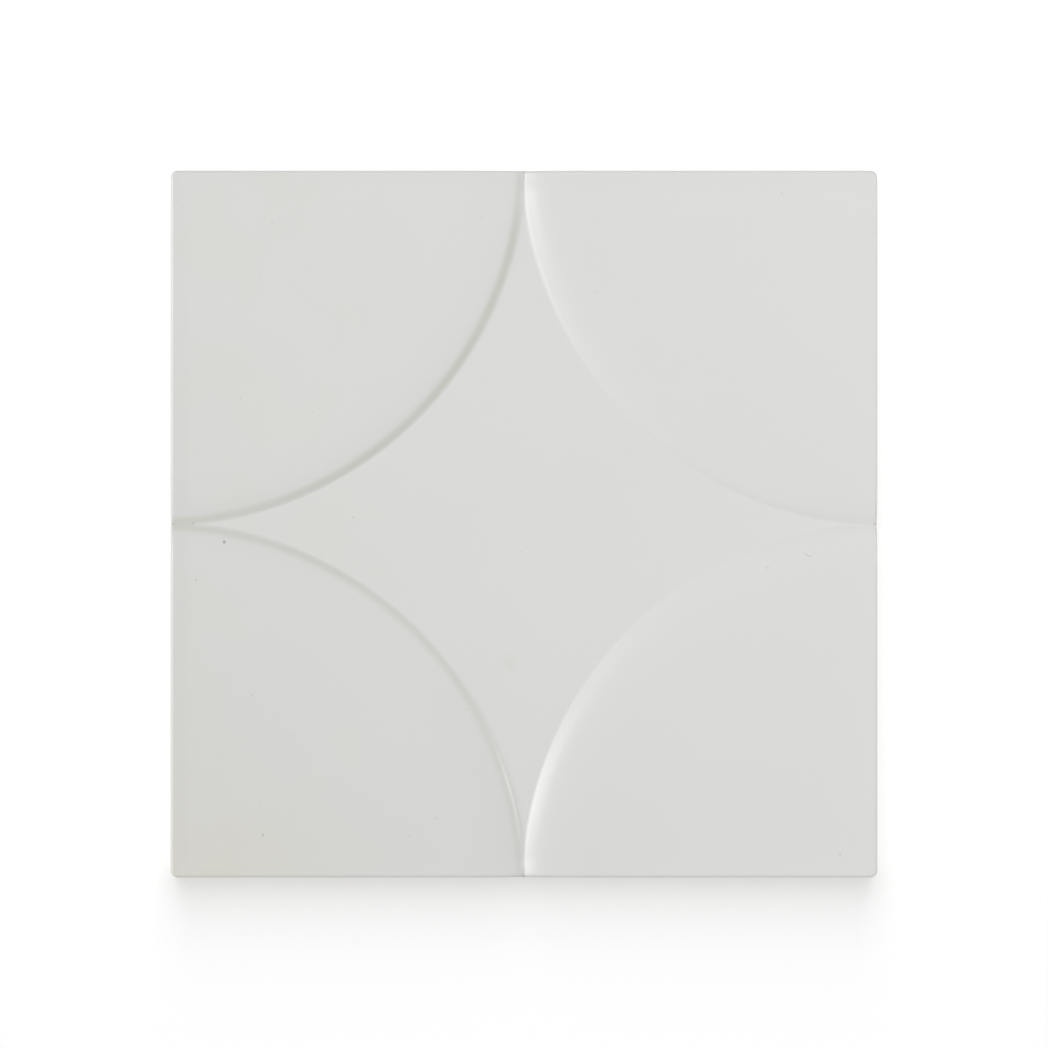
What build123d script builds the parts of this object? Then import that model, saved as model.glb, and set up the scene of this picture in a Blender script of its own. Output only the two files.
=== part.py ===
from build123d import *
import math
import os

# Square relief wall tile, dry-pressed and fired as one piece of porcelain.
# The tile lies face up: z = 0 is the plane its back rests on, and the origin is the middle of that plane.
# Its face has four quarter-round pads, one at each corner. Each is level on top and rolls over in a wide
# soft shoulder, and together they leave a flat floor between them in the shape of a concave diamond.

# Outline of the tile, and the height of its floor above the back
tile_side = 150.0
corner_radius = 1.5
floor_height = 8.0

# Pads: each circle is centred a little way outside its corner of the tile, and neighbouring pads meet
# in a V-shaped groove of this length at the middle of each side.
pad_centre_outset = 2.8
groove_length = 2.8
shoulder_width = 14.0
shoulder_drop = 1.5
flank_angle = 30.0
toe_radius = 3.0

# Soft upper edge round the whole face, and the bevel round the back
arris_radius = 1.0
back_chamfer = 0.8

# Key pattern pressed into the back for the adhesive: square pockets between a rim and crossed ribs
key_count = 6
key_rim_width = 7.0
key_rib_width = 3.0
key_depth = 0.8
key_draft_angle = 15.0

# A pad's radius is measured to the steepest line of its flank.
half_side = tile_side / 2
pad_centre = half_side + pad_centre_outset
pad_radius = math.hypot(pad_centre, groove_length + pad_centre_outset)
shoulder_start = pad_radius - shoulder_width

# Heights of a pad's profile, from the floor up through the flank to the level crown
flank_slope = math.tan(math.radians(flank_angle))
toe_run = toe_radius * math.sin(math.radians(flank_angle))
toe_rise = toe_radius * (1 - math.cos(math.radians(flank_angle)))
flank_height = floor_height + toe_rise
crown_height = flank_height + shoulder_drop

# The shoulder bends round the point where the line of the crown meets the line of the flank.
bend_point = (pad_radius - shoulder_drop / flank_slope, crown_height)

# The profile is drawn from the pad's centre towards the far side of the tile, past the tile's middle.
profile_plane = Plane(origin=(pad_centre, pad_centre, 0), x_dir=(-1, 0, 0), z_dir=(0, 1, 0))
pad_axis = Axis((pad_centre, pad_centre, 0), (0, 0, 1))
floor_reach = pad_centre * math.sqrt(2) + toe_run

# One quarter of the tile: a pad and its share of the floor are turned as one form, then cut to the
# quarter's outline.
with BuildPart() as quarter:
    with BuildSketch(profile_plane):
        with BuildLine():
            crown = Line((0, crown_height), (shoulder_start, crown_height))
            shoulder = Bezier(crown @ 1, bend_point, (pad_radius, flank_height))
            toe = RadiusArc(shoulder @ 1, (pad_radius + toe_run, floor_height), -toe_radius)
            Polyline(
                toe @ 1,
                (floor_reach, floor_height),
                (floor_reach, 0),
                (0, 0),
                (0, crown_height),
            )
        make_face()
    revolve(axis=pad_axis, revolution_arc=90)

    with BuildSketch(Plane.XY):
        with Locations((half_side / 2, half_side / 2)):
            outline = Rectangle(half_side, half_side)
        fillet(outline.vertices().sort_by(lambda v: v.X + v.Y)[-1], corner_radius)
    extrude(amount=crown_height, mode=Mode.INTERSECT)

    # The soft upper edge runs along both outer sides and round the corner, and follows the pad down its
    # flank to the groove.
    outer_edges = quarter.edges().filter_by(
        lambda e: max((e @ 0.5).X, (e @ 0.5).Y) > half_side - corner_radius / 2 and (e @ 0.5).Z > floor_height
    )
    fillet(outer_edges, arris_radius)

# The pockets of the key pattern fill the back inside its rim, and two ribs cross at its middle.
key_field = tile_side - 2 * key_rim_width
key_pitch = (key_field + key_rib_width) / key_count
key_pocket = key_pitch - key_rib_width

with BuildPart() as tile:
    add(quarter.part)
    mirror(about=Plane.YZ)
    mirror(about=Plane.XZ)

    chamfer(tile.faces().sort_by(Axis.Z)[0].outer_wire().edges(), back_chamfer)

    with BuildSketch(Plane.XY):
        with GridLocations(key_pitch, key_pitch, key_count, key_count):
            Rectangle(key_pocket, key_pocket)
    extrude(amount=key_depth, taper=key_draft_angle, mode=Mode.SUBTRACT)

tile.part.label = "tile"

os.makedirs("parts", exist_ok=True)
export_step(tile.part, "parts/tile.step")
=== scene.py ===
import math

import bpy
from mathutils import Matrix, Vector


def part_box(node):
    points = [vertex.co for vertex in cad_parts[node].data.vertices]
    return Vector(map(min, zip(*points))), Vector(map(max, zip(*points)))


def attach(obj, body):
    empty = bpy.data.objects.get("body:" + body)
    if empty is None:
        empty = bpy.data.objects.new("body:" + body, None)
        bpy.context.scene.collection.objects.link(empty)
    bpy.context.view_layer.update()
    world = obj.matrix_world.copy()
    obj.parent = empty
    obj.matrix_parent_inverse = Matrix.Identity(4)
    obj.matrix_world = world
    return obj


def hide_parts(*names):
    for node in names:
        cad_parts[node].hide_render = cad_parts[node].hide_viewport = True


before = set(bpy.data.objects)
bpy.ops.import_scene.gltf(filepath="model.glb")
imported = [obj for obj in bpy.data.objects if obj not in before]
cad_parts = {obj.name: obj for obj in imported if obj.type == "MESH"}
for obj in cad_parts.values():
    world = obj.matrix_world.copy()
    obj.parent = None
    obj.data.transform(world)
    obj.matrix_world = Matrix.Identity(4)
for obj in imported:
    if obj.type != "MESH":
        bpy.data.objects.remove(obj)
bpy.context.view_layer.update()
bpy.ops.object.select_all(action="DESELECT")

# Tile
# One pressed and fired piece of white porcelain with four raised quarter-circle pads around a low diamond.
# The face is glazed, the back is bare with a pattern of square key pockets, and it is set in mortar.
# A quarter of the face is turned about its pad's centre and mirrored, then the sides and back are added.
MM = 0.001
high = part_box("tile")[1]
half_side = high.x
crown_height = high.z

pad_centre = half_side + 2.8 * MM
groove_length = 2.8 * MM
shoulder_width = 14.0 * MM
shoulder_drop = 1.5 * MM
flank_angle = math.radians(30)
toe_radius = 1.2 * MM
floor_height = 8.0 * MM
pad_radius = math.hypot(pad_centre, groove_length + pad_centre - half_side) - 0.4 * MM
flank_height = crown_height - shoulder_drop
toe_height = floor_height + toe_radius * (1 - math.cos(flank_angle))
toe_start = pad_radius + (flank_height - toe_height) / math.tan(flank_angle)
toe_run = toe_start - pad_radius + toe_radius * math.sin(flank_angle)
floor_reach = pad_centre * math.sqrt(2) + toe_run


def on_profile(radius, height):
    """A point of the pad's profile, which runs from the pad's centre across the tile."""
    return Vector((pad_centre - radius, pad_centre, height))


# The shoulder is a parabola around its bend, then comes a short straight flank, and the toe is an arc.
shoulder_start = on_profile(pad_radius - shoulder_width, crown_height)
shoulder_bend = on_profile(pad_radius - shoulder_drop / math.tan(flank_angle), crown_height)
shoulder_end = on_profile(pad_radius, flank_height)
toe_end = on_profile(pad_radius + toe_run, floor_height)
toe_handle = 4 / 3 * math.tan(flank_angle / 4) * toe_radius
down_flank = Vector((-math.cos(flank_angle), 0, -math.sin(flank_angle)))
knots = [
    (on_profile(0, crown_height), None, None),
    (shoulder_start, None, shoulder_start.lerp(shoulder_bend, 2 / 3)),
    (shoulder_end, shoulder_end.lerp(shoulder_bend, 2 / 3), None),
    (on_profile(toe_start, toe_height), None, on_profile(toe_start, toe_height) + down_flank * toe_handle),
    (toe_end, toe_end + Vector((toe_handle, 0, 0)), None),
    (on_profile(floor_reach, floor_height), None, None),
]
bpy.ops.curve.primitive_bezier_curve_add(location=(0, 0, 0))
profile = bpy.context.object
profile.name = "glazed_tile"
line = profile.data.splines[0]
line.bezier_points.add(len(knots) - len(line.bezier_points))
for point, (spot, before, after) in zip(line.bezier_points, knots):
    point.handle_left_type = point.handle_right_type = "FREE"
    point.co = spot
    point.handle_left = before if before else spot
    point.handle_right = after if after else spot
profile.data.resolution_u = 24
bpy.ops.object.convert(target="MESH")
tile = bpy.context.object


def pick(kind, wanted):
    """Selects, in edit mode, the tile's edges or faces whose corners all pass a test of place."""
    bpy.ops.object.mode_set(mode="EDIT")
    bpy.ops.mesh.select_mode(type=kind)
    bpy.ops.mesh.select_all(action="DESELECT")
    bpy.ops.object.mode_set(mode="OBJECT")
    mesh = tile.data
    for item in {"EDGE": mesh.edges, "FACE": mesh.polygons}[kind]:
        item.select = wanted([mesh.vertices[v].co for v in item.vertices])
    bpy.ops.object.mode_set(mode="EDIT")


near = 1e-6

# One quarter of the face, turned about the pad's centre, trimmed to its square and mirrored.
bpy.ops.object.mode_set(mode="EDIT")
bpy.ops.mesh.select_all(action="SELECT")
bpy.ops.mesh.spin(steps=48, angle=-math.pi / 2, center=(pad_centre, pad_centre, 0), axis=(0, 0, 1))
outer_corner = (half_side, half_side, 0)
for side in ((1, 0, 0), (0, 1, 0)):
    bpy.ops.mesh.select_all(action="SELECT")
    bpy.ops.mesh.bisect(plane_co=(0, 0, 0), plane_no=side, clear_inner=True, threshold=near / 10)
    bpy.ops.mesh.select_all(action="SELECT")
    bpy.ops.mesh.bisect(plane_co=outer_corner, plane_no=side, clear_outer=True, threshold=near / 10)
bpy.ops.mesh.select_all(action="SELECT")
bpy.ops.mesh.remove_doubles(threshold=near)
bpy.ops.object.mode_set(mode="OBJECT")
copies = tile.modifiers.new("four_quarters", "MIRROR")
copies.use_axis = (True, True, False)
copies.merge_threshold = near
bpy.ops.object.modifier_apply(modifier=copies.name)

# The sides drop from the outline of the face to the level of the back.
bpy.ops.object.mode_set(mode="EDIT")
bpy.ops.mesh.select_mode(type="EDGE")
bpy.ops.mesh.select_all(action="SELECT")
bpy.ops.mesh.region_to_loop()
bpy.ops.mesh.extrude_region_move(TRANSFORM_OT_translate={"value": (0, 0, -crown_height)})
bpy.ops.transform.resize(value=(1, 1, 0), center_override=(0, 0, 0))
bpy.ops.mesh.edge_face_add()


def at_level(axis, level):
    """A test for corners that all lie at one level along an axis."""
    return lambda corners: all(abs(c[axis] - level) < near for c in corners)


# Each level or upright area becomes one face, so that its shading stays even.
levels = [(2, crown_height), (2, floor_height)]
levels += [(axis, sign * half_side) for axis in (0, 1) for sign in (1, -1)]
for axis, level in levels:
    pick("FACE", at_level(axis, level))
    bpy.ops.mesh.dissolve_faces(use_verts=True)

# Upright corners first, then the soft edge around the face and the small one around the back.
corner_radius = 1.5 * MM
arris_radius = 0.7 * MM
back_bevel = 0.8 * MM
pick("EDGE", lambda ends: all(min(abs(e.x), abs(e.y)) > half_side - near for e in ends)
     and abs(ends[0].z - ends[1].z) > floor_height)
bpy.ops.mesh.bevel(offset=corner_radius, segments=8, affect="EDGES")


def inset_from_outline(spot):
    """How far a point lies inside the tile's outline with its rounded corners."""
    over_x = abs(spot.x) - (half_side - corner_radius)
    over_y = abs(spot.y) - (half_side - corner_radius)
    if over_x > 0 and over_y > 0:
        return corner_radius - math.hypot(over_x, over_y)
    return half_side - max(abs(spot.x), abs(spot.y))


pick("EDGE", lambda ends: all(inset_from_outline(e) < near and e.z > arris_radius for e in ends))
bpy.ops.mesh.bevel(offset=arris_radius, segments=8, affect="EDGES", clamp_overlap=False)
pick("EDGE", at_level(2, 0))
bpy.ops.mesh.bevel(offset=back_bevel, segments=3, affect="EDGES")

# The back takes a grid of square key pockets with sloping walls and rounded corners.
key_count = 6
key_rim_width = 7.0 * MM
key_rib_width = 3.0 * MM
key_depth = 0.8 * MM
key_draft = math.radians(15)
key_pitch = (2 * (half_side - key_rim_width) + key_rib_width) / key_count
pick("FACE", at_level(2, 0))
bpy.ops.mesh.delete(type="ONLY_FACE")
bpy.ops.mesh.primitive_grid_add(
    x_subdivisions=key_count, y_subdivisions=key_count, size=key_count * key_pitch, location=(0, 0, 0)
)
bpy.ops.mesh.inset(thickness=key_rib_width / 2, use_individual=True)
bpy.ops.mesh.inset(thickness=key_depth * math.tan(key_draft), depth=key_depth, use_individual=True)
bpy.ops.mesh.select_all(action="DESELECT")
bpy.ops.mesh.select_mode(type="EDGE")
bpy.ops.mesh.select_non_manifold()
bpy.ops.mesh.fill()
pick("EDGE", lambda ends: abs(abs(ends[0].z - ends[1].z) - key_depth) < near
     and max(abs(ends[0].x), abs(ends[0].y)) < half_side - key_rib_width)
pocket_corner_radius = 1.5 * MM
bpy.ops.mesh.bevel(offset=pocket_corner_radius, segments=4, affect="EDGES")

bpy.ops.mesh.select_all(action="SELECT")
bpy.ops.mesh.normals_make_consistent(inside=False)
bpy.ops.object.mode_set(mode="OBJECT")
bpy.ops.object.shade_smooth_by_angle(angle=math.radians(28))
even = tile.modifiers.new("even_normals", "WEIGHTED_NORMAL")
even.keep_sharp = True
bpy.ops.object.modifier_apply(modifier=even.name)
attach(tile, "root")
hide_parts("tile")


class Wire:
    """An output socket of a shader tree that can be used in Python expressions."""

    def __init__(self, socket):
        self.socket = socket
        self.tree = socket.id_data

    def node(self, kind, values, output=0, **settings):
        """Adds a node, sets its inputs to wires or plain values, and gives back one of its outputs."""
        made = self.tree.nodes.new("ShaderNode" + kind)
        for name, setting in settings.items():
            setattr(made, name, setting)
        for key, value in values.items():
            if isinstance(value, Wire):
                self.tree.links.new(value.socket, made.inputs[key])
            else:
                made.inputs[key].default_value = value
        return Wire(made.outputs[output])

    def math(self, operation, *others):
        return self.node("Math", dict(enumerate((self,) + others)), operation=operation)

    def __add__(self, other):
        return self.math("ADD", other)

    def __radd__(self, other):
        return self.math("ADD", other)

    def __sub__(self, other):
        return self.math("SUBTRACT", other)

    def __rsub__(self, other):
        return self.node("Math", {0: other, 1: self}, operation="SUBTRACT")

    def __mul__(self, other):
        return self.math("MULTIPLY", other)

    def __rmul__(self, other):
        return self.math("MULTIPLY", other)

    def __pow__(self, other):
        return self.math("POWER", other)

    def __abs__(self):
        return self.math("ABSOLUTE")

    def most(self, *others):
        """The largest of several values."""
        largest = self
        for other in others:
            largest = largest.math("MAXIMUM", other)
        return largest

    def ramp(self, start, end):
        """Rises smoothly from 0 to 1 while the value goes from start to end, which may be the lower."""
        falls = start > end
        values = {"Value": self, "From Min": min(start, end), "From Max": max(start, end)}
        values.update({"To Min": float(falls), "To Max": float(not falls)})
        return self.node("MapRange", values, interpolation_type="SMOOTHSTEP")

    def band(self, middle, half_width):
        """A soft band: 1 at the middle and 0 from half_width away."""
        return abs(self - middle).ramp(half_width, 0)

    def noise(self, size, detail=2.0):
        """Soft noise around 0.5 with features of about this size."""
        return self.node("TexNoise", {"Vector": self, "Scale": 1 / size, "Detail": detail}, "Fac")

    def blend(self, first, second):
        """Goes from the first colour to the second while the value goes from 0 to 1."""
        return self.node("Mix", {0: self, 6: first, 7: second}, 2, data_type="RGBA")

    def into(self, node, name):
        self.tree.links.new(self.socket, node.inputs[name])


glaze = bpy.data.materials.new("satin_glaze_on_porcelain")
glaze.use_nodes = True
shader = glaze.node_tree.nodes["Principled BSDF"]
tile.data.materials.append(glaze)
metres = Wire(glaze.node_tree.nodes.new("ShaderNodeTexCoord").outputs["Object"])
# From here on the material counts in millimetres, from the middle of the tile's back.
spot = metres.node("VectorMath", {0: metres, "Scale": 1 / MM}, operation="SCALE")
x, y, z = (spot.node("SeparateXYZ", {0: spot}, axis) for axis in "XYZ")
plan = spot.node("CombineXYZ", {"X": x, "Y": y})

# The glaze covers the face and ends in a wavy line a few millimetres down the sides.
glaze_end = 7.4 - spot.noise(9, 3) * 2.6
glazed = (z - glaze_end).ramp(-0.15, 0.15)

# It pools in the crease around the two left pads, most of all around the upper one. The darkening there is
# partly the glaze's own greenish tint and partly painted shade in the crease, on the side of the pads away
# from the light.
pad_mm = pad_centre / MM
from_pad = ((pad_mm - abs(x)) ** 2 + (pad_mm - abs(y)) ** 2) ** 0.5 - pad_radius / MM
pooled_glaze_and_crease_shade = from_pad.band(-0.3, 1.5) * x.ramp(0.5, -2.5) * (0.5 + y.ramp(-20, 20) * 0.5)
pooled_glaze_and_crease_shade = pooled_glaze_and_crease_shade * (0.5 + spot.noise(12, 3) * 0.7)

# Pinholes, a few of them large enough to be seen from afar, and one small scratch shaped like a hook. Each
# has its place across and up the face, its radius and how dark it is; the darkness of a pinhole is painted
# shade of its hollow.
pinholes = [
    (-63.6, -3.8, 0.5, 1.0), (-70.2, 0.1, 0.34, 0.6), (-69.5, -11.9, 0.38, 0.5), (-55.3, -66.0, 0.42, 0.5),
    (51.7, -9.3, 0.36, 0.45), (67.0, -70.1, 0.36, 0.4), (15.0, 49.3, 0.34, 0.35), (54.7, 70.1, 0.34, 0.35),
    (16.2, 30.1, 0.3, 0.25), (-53.4, 63.9, 0.3, 0.3), (-72.3, 67.1, 0.3, 0.35), (-9.0, 65.0, 0.3, 0.25),
    (-44.7, 23.6, 0.3, 0.25), (-41.7, -25.3, 0.28, 0.2), (-57.6, -36.3, 0.32, 0.3), (-0.7, -5.9, 0.28, 0.25),
]
pits = []
wobble = spot.noise(0.5, 2) * 0.3 - 0.15
for across, up, radius, darkness in pinholes:
    away = plan.node("VectorMath", {0: plan, 1: (across, up, 0)}, "Value", operation="DISTANCE")
    pits.append((away + wobble).ramp(radius, radius * 0.2) * darkness)
pits = pits[0].most(*pits[1:]) * glazed
cell_size = 6
cells = {"Vector": plan, "Scale": 1 / cell_size, "Randomness": 1.0}
speck = plan.node("TexVoronoi", cells, "Distance") * cell_size
chance = plan.node("SeparateColor", {0: plan.node("TexVoronoi", cells, "Color")}, "Red")
specks = (speck - chance * 0.12).ramp(0.14, 0.0) * chance.ramp(0.5, 0.75)
specks = specks * (0.25 + x.ramp(20, -30) * 0.75) * glazed
hook = plan.node("VectorMath", {0: plan, 1: (60.7, -5.7, 0)}, "Value", operation="DISTANCE")
hook = glazed * hook.band(1.1, 0.2) * y.ramp(-5.7, -6.4) * spot.noise(0.7).ramp(0.3, 0.6)

# Height of the surface in millimetres: a low roll of glaze along the outer edges, a fine orange peel that is
# stronger at the left, the marks above, and the grain of the bare body.
from_edge = half_side / MM - abs(x).most(abs(y))
roll = from_edge.ramp(4.5, 0.0) * 0.22
peel_here = 0.3 + x.ramp(10, -40) * spot.noise(25, 2).ramp(0.35, 0.6)
peel = spot.noise(1.1, 2) * 0.02 * peel_here + spot.noise(22, 1) * 0.05
height = (roll + peel) * glazed - pits * 0.12 - specks * 0.03 - hook * 0.05
height = height + (1 - glazed) * spot.noise(0.5, 4) * 0.05
bump = spot.node("Bump", {"Height": height, "Distance": MM, "Strength": 1.0}, "Normal")
bump.into(shader, "Normal")

# Colours: the bare body, the glaze with its slow changes and yellowish patches, painted shade towards the
# lower left and in the creases of the left pads, then the marks in it, whose pinholes carry painted shade.
tone = glazed.blend((0.76, 0.735, 0.67, 1), (0.705, 0.705, 0.688, 1))
tone = (spot.noise(30, 3).ramp(0.35, 0.7) * 0.3 * glazed).blend(tone, (0.72, 0.72, 0.715, 1))
# Painted shade: the glaze is made darker towards the lower left corner, standing in for the light falling
# off there.
tone = ((x + y).ramp(-10, -110) * 0.6 * glazed).blend(tone, (0.665, 0.665, 0.65, 1))
patches = spot.noise(16, 4).ramp(0.45, 0.65) * x.ramp(0, -60) * 0.35
tone = (patches * glazed).blend(tone, (0.685, 0.69, 0.645, 1))
tone = ((x + y).ramp(-95, -150) * spot.noise(18, 3) * glazed).blend(tone, (0.67, 0.65, 0.56, 1))
smudge = plan.node("VectorMath", {0: plan, 1: (-2.9, -29.5, 0)}, "Value", operation="DISTANCE")
smudge = (smudge + spot.noise(1.5, 2) * 2).ramp(3.6, 1.0) * 0.3
tone = smudge.blend(tone, (0.62, 0.62, 0.56, 1))
# Painted shade together with the pooled glaze's tint, in the creases of the left pads.
tone = (pooled_glaze_and_crease_shade * glazed).blend(tone, (0.60, 0.605, 0.545, 1))
# The marks are darkened: in the pinholes this is painted shade of their hollows, while the specks and the
# hook are dark marks of their own.
tone = (pits.most(specks * 0.4, hook * 0.35) * 0.75).blend(tone, (0.30, 0.285, 0.25, 1))
tone.into(shader, "Base Color")
(0.85 - glazed * (0.57 - spot.noise(12, 2) * 0.06)).into(shader, "Roughness")

# Floor
# A plain white table top just under the tile, for the picture only. It is clear from below and open under
# the tile, so that the back can be looked at in the light.
floor_size = 6
bpy.ops.mesh.primitive_plane_add(size=floor_size, location=(0, 0, -0.05 * MM))
floor = bpy.context.object
floor.name = "floor"
bpy.ops.object.mode_set(mode="EDIT")
bpy.ops.mesh.select_all(action="SELECT")
bpy.ops.mesh.inset(thickness=floor_size / 2 - half_side + 0.3 * MM)
bpy.ops.mesh.delete(type="FACE")
bpy.ops.object.mode_set(mode="OBJECT")
table = bpy.data.materials.new("white_table")
table.use_nodes = True
table_shader = table.node_tree.nodes["Principled BSDF"]
table_shader.inputs["Base Color"].default_value = (0.8, 0.8, 0.8, 1)
table_shader.inputs["Roughness"].default_value = 1.0
table_shader.inputs["Specular IOR Level"].default_value = 0.0
table_shader.inputs["Emission Strength"].default_value = 1.0
floor.data.materials.append(table)


def seen(tree):
    """Is 1 for the rays that show a surface itself: camera, gloss and transmission."""
    path = tree.nodes.new("ShaderNodeLightPath")
    camera_ray = Wire(path.outputs["Is Camera Ray"])
    glossy_ray = Wire(path.outputs["Is Glossy Ray"])
    return camera_ray.most(glossy_ray, Wire(path.outputs["Is Transmission Ray"]))


below = Wire(table.node_tree.nodes.new("ShaderNodeNewGeometry").outputs["Backfacing"])
(1 - below).into(table_shader, "Alpha")
shown = seen(table.node_tree)
shown.blend((0, 0, 0, 1), (0.44, 0.44, 0.44, 1)).into(table_shader, "Emission Color")

# Lights
# Even light from a white room, a tall strip and a low box from the left, a thin strip and a low card from
# the right, a panel near the upper right that brightens that side, and soft fills in front and below.
# Two boxes beyond the top edge light the floor alone and give it the shadow below the tile.
world = bpy.data.worlds.new("studio")
bpy.context.scene.world = world
world.use_nodes = True
background = world.node_tree.nodes["Background"]
background.inputs["Strength"].default_value = 1.0
seen(world.node_tree).blend((0.325, 0.325, 0.325, 1), (1, 1, 1, 1)).into(background, "Color")

only_tile = bpy.data.collections.new("lit_tile")
only_tile.objects.link(tile)
only_floor = bpy.data.collections.new("lit_floor")
only_floor.objects.link(floor)


def lamp(name, azimuth, elevation, distance, share, size, receivers):
    """An area lamp that faces the tile and gives this share of the light that falls on its face."""
    azimuth, elevation = math.radians(azimuth), math.radians(elevation)
    toward = Vector((math.cos(azimuth) * math.cos(elevation), math.sin(azimuth) * math.cos(elevation),
                     math.sin(elevation)))
    bpy.ops.object.light_add(type="AREA", location=toward * distance)
    made = bpy.context.object
    made.name = name
    made.rotation_euler = toward.to_track_quat("Z", "Y").to_euler()
    made.data.shape = "RECTANGLE"
    made.data.size, made.data.size_y = size
    made.data.energy = share * math.pi ** 2 * distance ** 2 / abs(math.sin(elevation))
    made.light_linking.receiver_collection = receivers
    return made


lamp("left_strip", 171, 46, 3.0, 0.2, (0.45, 2.0), only_tile)
lamp("left_box", 183, 22, 3.0, 0.13, (2.0, 0.9), only_tile)
lamp("right_strip", 10, 30, 3.0, 0.055, (0.1, 0.3), only_tile)
lamp("right_card", 0, 8, 3.0, 0.016, (2.0, 0.5), only_tile)
for name, azimuth, elevation, distance, share in (
    ("near_panel", 37, 58, 0.7, 0.245), ("front_fill", 270, 30, 1.5, 0.045)
):
    lamp(name, azimuth, elevation, distance, share, (0.4, 0.4), only_tile).visible_glossy = False
lamp("back_light", 60, -60, 1.5, 0.4, (1.5, 1.5), only_tile)
lamp("top_box", 90, 59, 1.17, 0.46, (1.0, 1.2), only_floor)
lamp("top_low", 90, 24, 2.0, 0.07, (1.0, 0.7), only_floor)

# Camera
# Straight above the tile, square to its face.
bpy.ops.object.camera_add(location=(0, 0, 0.905))
camera = bpy.context.object
camera.data.lens = 145
bpy.context.scene.camera = camera
bpy.context.scene.view_settings.view_transform = "Standard"
